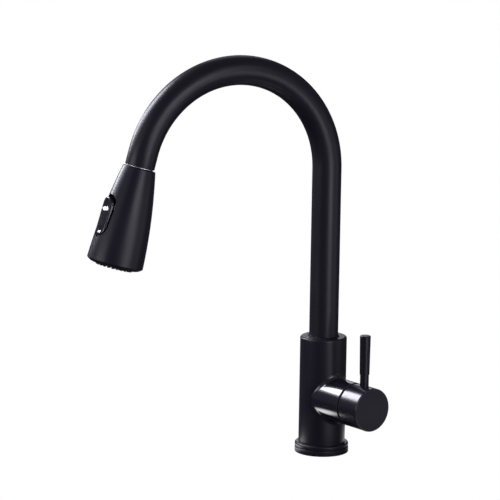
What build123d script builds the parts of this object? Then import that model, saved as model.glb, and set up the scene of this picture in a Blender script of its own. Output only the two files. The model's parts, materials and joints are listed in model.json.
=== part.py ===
from build123d import *
import os
from math import cos, radians, sin, sqrt

# Pull-down kitchen tap, in millimetres and degrees. The origin is on the axis of the column, in the
# plane of the worktop. +Z points up and the mixer handle sticks out along +X.

# ---- driving dimensions -------------------------------------------------------------------------

# spout tube
TUBE_R = 14.0
TUBE_WALL = 1.2
BEND_R = 98.5
BEND_START_Z = 278.0
BEND_ANGLE = 164.5
TIP_RUN = 14.2
SPOUT_AZIMUTH = -100.7
TUBE_FOOT_Z = 96.0

# mixer body and its base rings
BODY_R = 22.5
BODY_TOP_Z = 114.2
FLANGE_R = 26.0
FLANGE_TOP_Z = 10.0
GROOVE_LOW_Z = 5.3
GROOVE_TOP_Z = 5.9
GASKET_R = 24.5
SPIGOT_R = 20.0

# side barrel and handle
BARREL_R = 20.9
BARREL_Z = 55.4
BARREL_FACE_X = 48.0
SADDLE_R = 5.0
CAP_RIM_X = 49.2
CAP_END_X = 74.7
LEVER_X = 62.3
LEVER_FOOT_R = 4.2
LEVER_FOOT_H = 11.6
LEVER_H = 49.5
LEVER_LOW_R = 4.7
LEVER_TOP_R = 5.2
PIVOT_X = 36.0

# worktop fixing
SHANK_R = 16.5
SHANK_BORE_R = 14.4
SHANK_LOW_Z = -60.0
SHANK_TOP_Z = 14.0
WORKTOP = 32.0

# water connections inside the body
INLET_R = 4.5
INLET_DEPTH = 12.0
INLET_X = 4.8
INLET_Y = 7.8
OUTLET_X = 10.0
OUTLET_PIPE_R = 3.8
OUTLET_COLLAR_R = 4.7
WATERWAY_R = 2.5
BLOCK_LOW_Z = 24.0
SEAT_X = 16.0
PORT_DROP = 6.0
PORT_RISE = 8.0

# hose
HOSE_R = 5.0
HOSE_BORE_R = 3.2
HOSE_X = -6.2
HOSE_LOW_Z = -78.0
HOSE_SHIFT_LOW_Z = 60.0
HOSE_SHIFT_TOP_Z = 102.0
HOSE_SPLIT_Z = 104.0

# spray head, measured along its own axis from the seam with the tube
SEAM = 0.6
HEAD_TOP_R = 15.4
HEAD_MID_R = 23.0
HEAD_END_R = 26.6
HEAD_LENGTH = 91.6
HEAD_WALL = 2.2
NECK_R = 10.3
FACE_LENGTH = 94.6
FACE_FLAT_R = 18.8
NOZZLE_RINGS = ((16.2, 24), (12.2, 16))
NOZZLE_R = 1.25
NOZZLE_TIP = 95.9
AERATOR_R = 8.8

# rocker switch on the front of the head
ROCKER_AT = 49.8
ROCKER_SLOPE = 5.7
ROCKER_TILT = 4.0
ROCKER_LENGTH = 37.0
ROCKER_WIDTH = 17.4
ROCKER_THICK = 3.2
ROCKER_SHIFT = 0.7
ROCKER_PROUD = 1.2
RECESS_LENGTH = 41.0
RECESS_WIDTH = 22.2
BEZEL_LEDGE = 0.5
BEZEL_LAP = 1.5
ROCKER_PIVOT_IN = 6.6
ROCKER_PIN_R = 1.2
FINGER_TIP_R = 3.2
FINGER_DRIVE_R = 3.4

# clearances
RUNNING = 0.05
FIT = 0.05
GAP = 0.3

# ---- worked out from the driving dimensions -----------------------------------------------------

TUBE_BORE_R = TUBE_R - TUBE_WALL
CAP_CREST_Z = BARREL_Z + BARREL_R
CENTRE_LOW = (Align.CENTER, Align.CENTER, Align.MIN)


def bend_point(angle):
    """Point of the gooseneck's centreline, in the spout's own plane."""
    turn = radians(angle)
    return Vector(BEND_R - BEND_R * cos(turn), 0, BEND_START_Z + BEND_R * sin(turn))


TIP_DIRECTION = Vector(sin(radians(BEND_ANGLE)), 0, cos(radians(BEND_ANGLE)))
SEAM_POINT = bend_point(BEND_ANGLE) + TIP_DIRECTION * TIP_RUN

# Frames: SPOUT turns the spout's plane to its azimuth. HEAD has +Z along the spray head, away from
# the tube, and +X to the head's front. BARREL has +Z along the barrel and -X up. ROCKER lies in the
# head's front surface, with +X out of it and +Z down the head.
SPOUT = Rot(0, 0, SPOUT_AZIMUTH)
HEAD = SPOUT * Pos(SEAM_POINT) * Rot(0, BEND_ANGLE, 0) * Rot(0, 0, 180)
BARREL = Pos(0, 0, BARREL_Z) * Rot(0, 90, 0)


# ---- helpers ------------------------------------------------------------------------------------


def disc(radius, low, high):
    """Cylinder about Z from low to high."""
    return Pos(0, 0, low) * Cylinder(radius, high - low, align=CENTRE_LOW)


def cone(low_r, high_r, low, high):
    """Tapered pin about Z from low to high."""
    return Pos(0, 0, low) * Cone(low_r, high_r, high - low, align=CENTRE_LOW)


def ring(outer, inner, low, high):
    """Plain ring about Z from low to high."""
    return disc(outer, low, high) - disc(inner, low, high)


def block(x0, x1, y0, y1, z0, z1):
    """Box between two corners."""
    return Pos((x0 + x1) / 2, (y0 + y1) / 2, (z0 + z1) / 2) * Box(x1 - x0, y1 - y0, z1 - z0)


def stadium(length, width, low, high):
    """Rounded bar that is long in Z, wide in Y and thick in X from low to high."""
    outline = Plane.YZ * (Rot(0, 0, 90) * SlotOverall(length, width))
    return extrude(Pos(low, 0, 0) * outline, high - low, dir=(1, 0, 0))


def edges_at(shape, level, axis=Axis.Z, radius=None):
    """Circular edges of a shape at one level along an axis, of one radius if it is given."""
    spot = {Axis.Z: 2, Axis.X: 0}[axis]
    found = []
    for edge in shape.edges().filter_by(GeomType.CIRCLE):
        place = tuple(edge.arc_center)[spot]
        if abs(place - level) < 0.01 and (radius is None or abs(edge.radius - radius) < 0.01):
            found.append(edge)
    return found


def hexagon_hole(flats, low, high):
    """Hexagon socket about Z."""
    return extrude(Pos(0, 0, low) * RegularPolygon(flats / 2, 6, major_radius=False), high - low)


def pipe_along(path, start, direction, radius):
    """Round bar swept along a path."""
    section = Plane(origin=start, z_dir=direction) * Circle(radius)
    return sweep(section, path=path)


# ---- base and worktop fixing --------------------------------------------------------------------


def base_gasket():
    return ring(GASKET_R, SPIGOT_R + 0.6, 0, 1.2)


def base_ring():
    shape = ring(FLANGE_R, SPIGOT_R + FIT, 0.2, GROOVE_LOW_Z)
    shape = fillet(edges_at(shape, 0.2, radius=FLANGE_R), 0.4)
    shape = fillet(edges_at(shape, GROOVE_LOW_Z, radius=FLANGE_R), 0.7)
    return shape - ring(GASKET_R + FIT, SPIGOT_R + 0.55, 0.2, 1.25)


def trim_ring():
    lip = ring(FLANGE_R - 0.1, SPIGOT_R + FIT, GROOVE_TOP_Z, FLANGE_TOP_Z)
    lip = fillet(edges_at(lip, FLANGE_TOP_Z, radius=FLANGE_R - 0.1), 1.6)
    lip = fillet(edges_at(lip, GROOVE_TOP_Z, radius=FLANGE_R - 0.1), 0.6)
    return lip + ring(FLANGE_R - 1.2, SPIGOT_R + FIT, GROOVE_LOW_Z, GROOVE_TOP_Z)


def mounting_shank():
    shape = disc(SHANK_R, SHANK_LOW_Z, 0) + disc(SHANK_R - 0.3, 0, SHANK_TOP_Z)
    shape = chamfer(edges_at(shape, SHANK_LOW_Z), 0.8)
    return shape - disc(SHANK_BORE_R, SHANK_LOW_Z, SHANK_TOP_Z)


def rubber_clamp_washer():
    return ring(27.0, SHANK_R + 0.4, -WORKTOP - 3.0, -WORKTOP)


def steel_clamp_washer():
    return ring(27.0, SHANK_R + 0.4, -WORKTOP - 5.0, -WORKTOP - 3.0)


def mounting_nut():
    top = -WORKTOP - 5.0
    nut = extrude(Pos(0, 0, top - 11.0) * RegularPolygon(23.0, 6, major_radius=False), 9.0)
    nut = nut + disc(24.5, top - 2.0, top)
    return nut - disc(SHANK_R + FIT, top - 11.0, top)


# ---- mixer body ---------------------------------------------------------------------------------

CHAMBER_R = 19.0
CHAMBER_LOW_Z = 16.0
CHAMBER_TOP_Z = 78.0
LEDGE_TOP_Z = 81.5
BEARING_R = 15.2
BARREL_BORE_R = 17.55
SCREW_Z = 90.0


def chamber_beside(face_x, low, high):
    """Half-round hose chamber on the -X side of a flat wall."""
    return disc(CHAMBER_R, low, high) - block(face_x, 2 * CHAMBER_R, -CHAMBER_R, CHAMBER_R, low, high)


def inlet_waterway(side):
    """Threaded inlet socket, riser and gallery to the cartridge seat, hot or cold side."""
    port_z = BARREL_Z - PORT_DROP
    socket = disc(INLET_R, BLOCK_LOW_Z, BLOCK_LOW_Z + INLET_DEPTH)
    riser = disc(WATERWAY_R, BLOCK_LOW_Z + INLET_DEPTH, port_z)
    gallery = Rot(0, 90, 0) * disc(WATERWAY_R, INLET_X, SEAT_X)
    place = Pos(INLET_X, side * INLET_Y, 0)
    return place * socket + place * riser + Pos(0, side * INLET_Y, port_z) * gallery


def outlet_waterway():
    """Mixed water from the cartridge seat down to the outlet pipe."""
    port_z = BARREL_Z + PORT_RISE
    socket = disc(OUTLET_PIPE_R + FIT, BLOCK_LOW_Z, BLOCK_LOW_Z + 10.0)
    riser = disc(WATERWAY_R, BLOCK_LOW_Z + 10.0, port_z)
    gallery = Rot(0, 90, 0) * disc(WATERWAY_R, OUTLET_X, SEAT_X)
    return Pos(OUTLET_X, 0, 0) * socket + Pos(OUTLET_X, 0, 0) * riser + Pos(0, 0, port_z) * gallery


def mixer_body():
    column = disc(BODY_R, FLANGE_TOP_Z, BODY_TOP_Z)
    barrel = BARREL * disc(BARREL_R, 0, BARREL_FACE_X)
    shape = column + barrel
    saddle = [e for e in shape.edges() if e.geom_type not in (GeomType.LINE, GeomType.CIRCLE)]
    shape = fillet(saddle, SADDLE_R)
    shape = fillet(edges_at(shape, BODY_TOP_Z), 1.8)
    shape = chamfer(edges_at(shape, BARREL_FACE_X, Axis.X), 0.5)
    shape = shape + disc(SPIGOT_R, 1.5, FLANGE_TOP_Z)
    shape = shape - disc(SHANK_R - 0.3 + FIT, 1.5, CHAMBER_LOW_Z)
    shape = shape - disc(CHAMBER_R, CHAMBER_LOW_Z, BLOCK_LOW_Z)
    shape = shape - chamber_beside(-0.8, BLOCK_LOW_Z, HOSE_SHIFT_LOW_Z - 2.0)
    shape = shape - chamber_beside(2.0, HOSE_SHIFT_LOW_Z - 2.0, CHAMBER_TOP_Z)
    shape = shape - disc(11.0, CHAMBER_TOP_Z, LEDGE_TOP_Z)
    shape = shape - disc(BEARING_R, LEDGE_TOP_Z, BODY_TOP_Z)
    shape = shape - BARREL * disc(BARREL_BORE_R, SEAT_X, BARREL_FACE_X)
    shape = shape - inlet_waterway(1) - inlet_waterway(-1) - outlet_waterway()
    return shape - Pos(0, 0, SCREW_Z) * Rot(-90, 0, 0) * disc(2.0, BEARING_R - 1.0, BODY_R + 1.0)


def outlet_pipe():
    shape = ring(OUTLET_PIPE_R, 2.6, -72.0, BLOCK_LOW_Z + 9.8)
    collar = ring(OUTLET_COLLAR_R, OUTLET_PIPE_R - 0.2, -68.0, -65.5)
    return Pos(OUTLET_X, 0, 0) * (shape + collar)


# ---- cartridge ----------------------------------------------------------------------------------

HOUSING_R = 17.45
HOUSING_LOW_X = 16.9
HOUSING_TOP_X = 42.4
HOUSING_BORE_R = 15.6
NECK_OUT_R = 13.0
NECK_BORE_R = 10.8
NECK_TOP_X = 46.5
FIXED_DISC_X = 19.45
MOVING_DISC_X = 23.0
CARRIER_X = 26.3
CARRIER_TOP_X = 29.6
GUIDE_X = 30.5
GUIDE_TOP_X = 40.0
TOE_X = 28.1
STEM_HALF = 3.5
MOVING_DISC_R = 10.5


def port_places():
    """Ports of the cartridge seat in the barrel's frame: hot, cold and mixed."""
    return ((PORT_DROP, INLET_Y), (PORT_DROP, -INLET_Y), (-PORT_RISE, 0))


def port_holes(low, high, radius=WATERWAY_R):
    holes = [Pos(x, y, 0) * disc(radius, low, high) for x, y in port_places()]
    return holes[0] + holes[1] + holes[2]


def cartridge_seals():
    seal = ring(WATERWAY_R + 1.5, WATERWAY_R + 0.2, SEAT_X, HOUSING_LOW_X)
    return Compound([BARREL * Pos(x, y, 0) * seal for x, y in port_places()])


def cartridge_housing():
    shape = disc(HOUSING_R, HOUSING_LOW_X, HOUSING_TOP_X) + disc(NECK_OUT_R, HOUSING_TOP_X, NECK_TOP_X)
    shape = shape - disc(HOUSING_BORE_R, FIXED_DISC_X, GUIDE_TOP_X + 0.4)
    shape = shape - disc(NECK_BORE_R, GUIDE_TOP_X + 0.4, NECK_TOP_X)
    return BARREL * (shape - port_holes(HOUSING_LOW_X, FIXED_DISC_X))


def fixed_disc():
    low, high = FIXED_DISC_X, MOVING_DISC_X - 0.05
    return BARREL * (disc(HOUSING_BORE_R - 0.1, low, high) - port_holes(low, high, 2.2))


def moving_disc():
    shape = disc(MOVING_DISC_R, MOVING_DISC_X, CARRIER_X)
    mixing_pocket = Pos(-1.5, 0, 0) * disc(5.0, MOVING_DISC_X, MOVING_DISC_X + 1.6)
    return BARREL * (shape - mixing_pocket)


def disc_carrier():
    shape = disc(MOVING_DISC_R, CARRIER_X, CARRIER_TOP_X)
    return BARREL * (shape - disc(3.1, CARRIER_X + 0.4, CARRIER_TOP_X))


def stem_guide():
    shape = disc(HOUSING_BORE_R - GAP, GUIDE_X, GUIDE_TOP_X)
    slot = block(-7.5, 7.5, -STEM_HALF - 0.2, STEM_HALF + 0.2, GUIDE_X, GUIDE_TOP_X)
    pin_hole = Pos(0, 0, PIVOT_X) * Rot(90, 0, 0) * Cylinder(1.5 + FIT, 4 * HOUSING_BORE_R)
    return BARREL * (shape - slot - pin_hole)


def pivot_pin():
    return Pos(PIVOT_X, 0, BARREL_Z) * Rot(90, 0, 0) * Cylinder(1.5, 26.0)


def cartridge_stem():
    bar = block(-STEM_HALF, STEM_HALF, -STEM_HALF, STEM_HALF, PIVOT_X - 4.0, LEVER_X + 4.0)
    toe = disc(1.7, TOE_X, PIVOT_X - 4.0) + Pos(0, 0, TOE_X) * Sphere(2.4)
    toe = toe - block(-5, 5, -5, 5, TOE_X - 5.0, TOE_X - 1.1)
    pin_hole = Pos(0, 0, PIVOT_X) * Rot(90, 0, 0) * Cylinder(1.5 + RUNNING, 4 * STEM_HALF)
    return BARREL * (bar + toe - pin_hole)


def cartridge_nut():
    shape = ring(BARREL_BORE_R - FIT, NECK_OUT_R + 0.1, HOUSING_TOP_X, NECK_TOP_X - 0.2)
    for turn in range(4):
        notch = block(14.6, 20.0, -1.8, 1.8, NECK_TOP_X - 2.0, NECK_TOP_X)
        shape = shape - Rot(0, 0, 45 + 90 * turn) * notch
    return BARREL * shape


def barrel_trim_ring():
    shape = ring(BARREL_BORE_R - FIT, NECK_BORE_R, NECK_TOP_X, BARREL_FACE_X - 0.4)
    return BARREL * chamfer(edges_at(shape, BARREL_FACE_X - 0.4, radius=NECK_BORE_R), 0.6)


# ---- handle -------------------------------------------------------------------------------------

CAP_RIM_R = 19.9
CAP_BORE_R = 18.4
CAP_STEP_X = 57.0
CAP_FLOOR_X = 71.6
HUB_R = 8.0
HUB_LOW_X = 53.0
STUD_R = 2.45


def across_cap(radius, low, high):
    """Cylinder about the lever's axis, between two heights above the barrel's axis."""
    return Pos(LEVER_X, 0, BARREL_Z) * disc(radius, low, high)


def handle_cap():
    shape = disc(BARREL_R, CAP_RIM_X, CAP_END_X)
    shape = fillet(edges_at(shape, CAP_END_X), 0.9)
    shape = shape - disc(CAP_RIM_R, CAP_RIM_X, CAP_STEP_X)
    shape = chamfer(edges_at(shape, CAP_RIM_X, radius=CAP_RIM_R), 0.5)
    shape = shape - disc(CAP_BORE_R, CAP_STEP_X, CAP_FLOOR_X)
    shape = shape + disc(HUB_R + 2.4, CAP_STEP_X, CAP_FLOOR_X)
    shape = BARREL * shape + across_cap(5.0, -CAP_BORE_R - 0.5, CAP_BORE_R + 0.5)
    shape = shape - BARREL * disc(HUB_R + FIT, CAP_RIM_X, CAP_FLOOR_X)
    return shape - across_cap(STUD_R + FIT, -BARREL_R - 1.0, BARREL_R + 1.0)


def stem_adapter():
    socket = STEM_HALF + FIT
    shape = disc(HUB_R, HUB_LOW_X, CAP_FLOOR_X - 0.1)
    shape = shape - block(-socket, socket, -socket, socket, HUB_LOW_X, LEVER_X + 4.2)
    return BARREL * shape - across_cap(STUD_R + FIT, -HUB_R - 1.0, 0)


def handle_grub_screw():
    shape = across_cap(STUD_R, -BARREL_R + 1.6, -STEM_HALF - 0.1)
    socket = Pos(LEVER_X, 0, BARREL_Z) * hexagon_hole(2.5, -BARREL_R + 1.6, -BARREL_R + 4.4)
    return shape - socket


def lever_ferrule():
    foot = BARREL_R + LEVER_FOOT_H
    shape = across_cap(LEVER_FOOT_R, BARREL_R - 1.0, foot)
    shape = shape - BARREL * disc(BARREL_R, CAP_RIM_X, CAP_END_X)
    shape = shape + across_cap(STUD_R, HUB_R + 0.4, BARREL_R)
    return shape + across_cap(STUD_R, foot, foot + 9.0)


def lever_rod():
    low = CAP_CREST_Z + LEVER_FOOT_H
    high = CAP_CREST_Z + LEVER_H
    shape = cone(LEVER_LOW_R, LEVER_TOP_R, low, high)
    shape = chamfer(edges_at(shape, high), 0.6)
    shape = chamfer(edges_at(shape, low), 0.3)
    return Pos(LEVER_X, 0, 0) * (shape - disc(STUD_R + FIT, low, low + 9.4))


# ---- spout --------------------------------------------------------------------------------------

BUSH_UPPER_Z = 104.5
WIPER_Z = 111.6
THRUST_Z = 82.9


def spout_path(low_z, tip_run):
    """Centreline from a height in the column to a place beyond the bend."""
    start = Vector(0, 0, low_z)
    bend_end = bend_point(BEND_ANGLE)
    rise = Line(start, bend_point(0))
    bend = ThreePointArc(bend_point(0), bend_point(BEND_ANGLE / 2), bend_end)
    tip = Line(bend_end, bend_end + TIP_DIRECTION * tip_run)
    return Wire([rise.edge(), bend.edge(), tip.edge()])


def spout_tube():
    path = spout_path(TUBE_FOOT_Z, TIP_RUN - SEAM)
    start, up = (0, 0, TUBE_FOOT_Z), (0, 0, 1)
    return SPOUT * (pipe_along(path, start, up, TUBE_R) - pipe_along(path, start, up, TUBE_BORE_R))


def spout_foot():
    shape = disc(TUBE_R, THRUST_Z + 0.1, TUBE_FOOT_Z) + disc(TUBE_BORE_R - 0.02, TUBE_FOOT_Z, 103.0)
    shape = shape - disc(10.0, THRUST_Z, 103.0)
    return shape - ring(TUBE_R + 1.0, TUBE_R - 1.0, SCREW_Z - 1.7, SCREW_Z + 1.7)


def spout_bushes():
    lower = ring(BEARING_R - 0.02, TUBE_R + RUNNING, THRUST_Z + 0.2, THRUST_Z + 4.6)
    upper = ring(BEARING_R - 0.02, TUBE_R + RUNNING, BUSH_UPPER_Z, WIPER_Z - 0.1)
    return Compound([lower, upper])


def thrust_washer():
    return ring(BEARING_R - 0.1, 11.2, LEDGE_TOP_Z, THRUST_Z)


def spout_wiper():
    shape = ring(BEARING_R - 0.02, TUBE_R + 2 * RUNNING, WIPER_Z, BODY_TOP_Z + 0.5)
    return chamfer(edges_at(shape, BODY_TOP_Z + 0.5, radius=BEARING_R - 0.02), 0.4)


def spout_set_screw():
    shape = disc(1.95, 14.3, BODY_R - 1.2) + disc(1.3, TUBE_R - 0.8, 14.3)
    shape = shape - hexagon_hole(2.0, BODY_R - 3.6, BODY_R - 1.2)
    return Pos(0, 0, SCREW_Z) * Rot(-90, 0, 0) * shape


DOCK_LOW = -12.6
DOCK_RING_R = 12.7


def dock_collar():
    shape = ring(TUBE_BORE_R - 0.02, NECK_R + 0.2, DOCK_LOW, -SEAM)
    return HEAD * chamfer(edges_at(shape, -SEAM, radius=NECK_R + 0.2), 0.8)


def dock_ring():
    return HEAD * ring(DOCK_RING_R, DOCK_RING_R - 1.3, -SEAM, SEAM - 0.15)


# ---- hose ---------------------------------------------------------------------------------------

FERRULE_AT = -12.2


def hose_lower():
    half = (HOSE_SHIFT_LOW_Z + HOSE_SHIFT_TOP_Z) / 2
    start = Vector(HOSE_X, 0, HOSE_LOW_Z)
    turn = Vector(HOSE_X, 0, HOSE_SHIFT_LOW_Z)
    middle = Vector(HOSE_X / 2, 0, half)
    top = Vector(0, 0, HOSE_SHIFT_TOP_Z)
    end = Vector(0, 0, HOSE_SPLIT_Z)
    rise = Line(start, turn)
    first = TangentArc(turn, middle, tangent=(0, 0, 1))
    second = TangentArc(middle, top, tangent=first % 1)
    print("hose shift radius", round(first.edge().radius, 1), round(second.edge().radius, 1))
    path = Wire([rise.edge(), first.edge(), second.edge(), Line(top, end).edge()])
    return pipe_along(path, start, (0, 0, 1), HOSE_R) - pipe_along(path, start, (0, 0, 1), HOSE_BORE_R)


def hose_upper():
    path = spout_path(HOSE_SPLIT_Z, TIP_RUN + FERRULE_AT)
    start, up = (0, 0, HOSE_SPLIT_Z), (0, 0, 1)
    return SPOUT * (pipe_along(path, start, up, HOSE_R) - pipe_along(path, start, up, HOSE_BORE_R))


def hose_coupling():
    top = HOSE_LOW_Z
    shape = extrude(Pos(0, 0, top - 14.0) * RegularPolygon(7.5, 6, major_radius=False), 9.0)
    shape = shape + disc(6.6, top - 5.0, top) - disc(HOSE_BORE_R, top - 6.0, top)
    return Pos(HOSE_X, 0, 0) * (shape - disc(4.6, top - 14.0, top - 5.0))


def hose_ferrule():
    return HEAD * ring(6.5, HOSE_R, FERRULE_AT, -3.0)


def hose_end_fitting():
    shape = disc(HOSE_R - 0.02, FERRULE_AT, -3.0) + disc(6.5, -3.0, 8.2) + disc(8.2, 8.2, 11.0)
    shape = shape + disc(5.0, 11.0, 15.0)
    return HEAD * (shape - disc(2.6, FERRULE_AT, 15.0))


# ---- spray head ---------------------------------------------------------------------------------

SHELL_TOP_WALL = 2.1
DIVERTER_R = 13.0
DIVERTER_LOW = 30.0
DIVERTER_TOP = 84.6
PLATE_AT = 88.8
SPOOL_R = 4.0
SPOOL_BORE_R = 4.1
SPOOL_LOW = 37.0
SPOOL_TOP = 67.0
SPOOL_GROOVE = 3.6
SPOOL_BORE_TOP = 75.6
AERATOR_SEAT = 78.6


def head_radius(along, inset=0.0):
    """Outside radius of the head's arc-shaped profile at a distance from the seam."""
    start, end = Vector(HEAD_TOP_R, SEAM), Vector(HEAD_END_R, HEAD_LENGTH)
    middle = Vector(HEAD_MID_R, HEAD_LENGTH / 2)
    arc = ThreePointArc(start, middle, end).edge()
    centre = arc.arc_center
    return centre.X + sqrt(arc.radius ** 2 - (along - centre.Y) ** 2) - inset


def head_form(inset, low, high):
    """Solid of revolution that follows the head's outside, set in by a wall."""
    middle = (low + high) / 2
    curve = ThreePointArc(
        (head_radius(low, inset), 0, low),
        (head_radius(middle, inset), 0, middle),
        (head_radius(high, inset), 0, high),
    )
    outline = Polyline((head_radius(low, inset), 0, low), (0, 0, low), (0, 0, high),
                       (head_radius(high, inset), 0, high))
    return revolve(make_face(curve + outline), Axis.Z)


ROCKER = Pos(head_radius(ROCKER_AT), 0, ROCKER_AT) * Rot(0, ROCKER_SLOPE, 0)
PIVOT = Pos(-ROCKER_PIVOT_IN, 0, 0)
ROCKER_REST = ROCKER * PIVOT * Rot(0, -ROCKER_TILT, 0) * Pos(ROCKER_PIVOT_IN, 0, 0)

# The finger on the back of the rocker reaches into the spool's groove.
FINGER_ARM = head_radius(ROCKER_AT) - ROCKER_PIVOT_IN * cos(radians(ROCKER_SLOPE)) - FINGER_DRIVE_R
FINGER_AT = (ROCKER_AT + ROCKER_PIVOT_IN * sin(radians(ROCKER_SLOPE))
             + FINGER_ARM * sin(radians(ROCKER_SLOPE - ROCKER_TILT)))


def head_shell():
    shape = head_form(0, SEAM, HEAD_LENGTH)
    shape = fillet(edges_at(shape, SEAM), 0.8)
    shape = fillet(edges_at(shape, HEAD_LENGTH), 0.6)
    shape = shape - head_form(HEAD_WALL, SEAM + SHELL_TOP_WALL, HEAD_LENGTH)
    shape = shape - disc(NECK_R + 0.1, SEAM, SEAM + SHELL_TOP_WALL)
    return HEAD * (shape - ROCKER * stadium(RECESS_LENGTH, RECESS_WIDTH, -12.0, 5.0))


def head_neck():
    under = SEAM + SHELL_TOP_WALL
    shape = disc(NECK_R, -12.0, under) + disc(13.0, under, under + 2.4)
    shape = shape + disc(11.5, under + 2.4, DIVERTER_LOW)
    shape = chamfer(edges_at(shape, -12.0), 1.0)
    shape = shape - disc(6.5 + RUNNING, -12.0, 8.0)
    shape = shape - disc(8.4, 8.0, 26.0)
    return HEAD * (shape - disc(4.5, 26.0, DIVERTER_LOW))


def check_valve():
    shape = disc(8.35, 13.0, 25.9) - disc(5.0 + RUNNING, 13.0, 16.0)
    return HEAD * (shape - disc(3.2, 16.0, 25.9))


def diverter_body():
    shape = disc(DIVERTER_R, DIVERTER_LOW, DIVERTER_TOP) + disc(22.6, DIVERTER_TOP, PLATE_AT)
    shape = shape - disc(4.5, DIVERTER_LOW, SPOOL_LOW - 3.0)
    shape = shape - disc(SPOOL_BORE_R, SPOOL_LOW - 3.0, SPOOL_BORE_TOP)
    shape = shape - disc(AERATOR_R + FIT, AERATOR_SEAT, PLATE_AT)
    shape = shape - disc(2.5, SPOOL_BORE_TOP, AERATOR_SEAT)
    shape = shape - ring(18.5, 10.2, PLATE_AT - 2.0, PLATE_AT)
    window = block(0, DIVERTER_R + 1.0, -2.2, 2.2, ROCKER_AT - 4.5, ROCKER_AT + 5.5)
    feed = Pos(0, 8.0, 0) * disc(1.8, SPOOL_TOP - 6.0, PLATE_AT - 1.0)
    return HEAD * (shape - window - feed)


def diverter_spool():
    groove_low = FINGER_AT - SPOOL_GROOVE / 2
    shape = disc(SPOOL_R, SPOOL_LOW, SPOOL_TOP)
    return HEAD * (shape - ring(SPOOL_R + 1.0, 1.9, groove_low, groove_low + SPOOL_GROOVE))


def nozzle_places():
    """Middle of each nozzle in the spray face."""
    places = []
    for radius, count in NOZZLE_RINGS:
        for step in range(count):
            places.append(Rot(0, 0, 360 * step / count) * Pos(radius, 0, 0))
    return places


def spray_face():
    low = PLATE_AT + 1.2
    skirt_r = HEAD_END_R - HEAD_WALL - 0.2
    rim_r = HEAD_END_R - 0.5
    rim = ThreePointArc((FACE_FLAT_R, 0, FACE_LENGTH), (22.8, 0, FACE_LENGTH - 0.8), (rim_r, 0, HEAD_LENGTH))
    edge = Polyline((rim_r, 0, HEAD_LENGTH), (skirt_r, 0, HEAD_LENGTH), (skirt_r, 0, low),
                    (0, 0, low), (0, 0, FACE_LENGTH), (FACE_FLAT_R, 0, FACE_LENGTH))
    shape = revolve(make_face(rim + edge), Axis.Z) - disc(AERATOR_R + FIT, low, FACE_LENGTH)
    for place in nozzle_places():
        shape = shape - place * disc(NOZZLE_R + FIT, low, FACE_LENGTH)
    return HEAD * shape


def nozzle_mat():
    shape = ring(21.5, 9.6, PLATE_AT + 0.1, PLATE_AT + 1.1)
    for place in nozzle_places():
        nozzle = cone(NOZZLE_R, NOZZLE_R - 0.25, PLATE_AT + 1.0, NOZZLE_TIP)
        shape = shape + place * nozzle
    for place in nozzle_places():
        shape = shape - place * disc(0.45, PLATE_AT, NOZZLE_TIP)
    return HEAD * shape


def aerator():
    low, floor = AERATOR_SEAT + 0.1, AERATOR_SEAT + 1.5
    screen_low, screen_top = FACE_LENGTH - 2.1, FACE_LENGTH - 0.3
    shape = disc(AERATOR_R, low, screen_top) - disc(AERATOR_R - 1.1, floor, screen_low)
    shape = shape - disc(2.5, low, floor)
    screen = [Pos(0, 0, 0)]
    for radius, count in ((2.3, 6), (4.6, 12), (6.6, 18)):
        screen += [Rot(0, 0, 360 * step / count) * Pos(radius, 0, 0) for step in range(count)]
    for place in screen:
        shape = shape - place * disc(0.75, screen_low, screen_top)
    return HEAD * shape


# ---- rocker switch ------------------------------------------------------------------------------


def across_rocker(radius, length):
    """Cylinder about the rocker's pivot, in the rocker's own frame."""
    return PIVOT * Rot(90, 0, 0) * Cylinder(radius, length)


def rocker_bezel():
    """Frame behind the opening in the shell. Its ends rest on the diverter and it carries the pin."""
    outer = stadium(RECESS_LENGTH + 2 * BEZEL_LAP, RECESS_WIDTH + 2 * BEZEL_LAP, -9.2, 2.0)
    inner = stadium(RECESS_LENGTH - 2 * BEZEL_LEDGE, RECESS_WIDTH - 2 * BEZEL_LEDGE, -9.2, 2.0)
    shape = ROCKER * (outer - inner - across_rocker(ROCKER_PIN_R + 0.02, RECESS_WIDTH + 0.1))
    shape = shape & head_form(HEAD_WALL + FIT, 15.0, 85.0)
    return HEAD * (shape - disc(DIVERTER_R + FIT, 15.0, 85.0))


def rocker_pin():
    return HEAD * ROCKER * across_rocker(ROCKER_PIN_R, RECESS_WIDTH)


def rocker_button():
    crown_r = head_radius(ROCKER_AT) + ROCKER_PROUD
    shape = Pos(0, 0, ROCKER_SHIFT) * stadium(ROCKER_LENGTH, ROCKER_WIDTH, -ROCKER_THICK, 2 * ROCKER_PROUD)
    shape = shape & (Pos(ROCKER_PROUD - crown_r, 0, 0) * disc(crown_r, -ROCKER_LENGTH, ROCKER_LENGTH))
    for along, radius, depth in ((-9.9, 6.1, 1.1), (14.1, 3.6, 0.7)):
        ball_r = (radius ** 2 + depth ** 2) / (2 * depth)
        shape = shape - Pos(ROCKER_PROUD - depth + ball_r, 0, along) * Sphere(ball_r)
    web = block(-ROCKER_PIVOT_IN, 0.4 - ROCKER_THICK, -5.0, 5.0, -2.0, 2.0)
    shape = shape + across_rocker(2.4, 10.0) + web
    shape = shape - across_rocker(ROCKER_PIN_R + RUNNING, 4 * ROCKER_WIDTH)
    reach = head_radius(ROCKER_AT) - FINGER_TIP_R
    finger = block(-reach, -ROCKER_PIVOT_IN - 1.6, -1.5, 1.5, -1.2, 1.2)
    return HEAD * ROCKER_REST * (shape + finger)


# ---- write the parts ----------------------------------------------------------------------------

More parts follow.
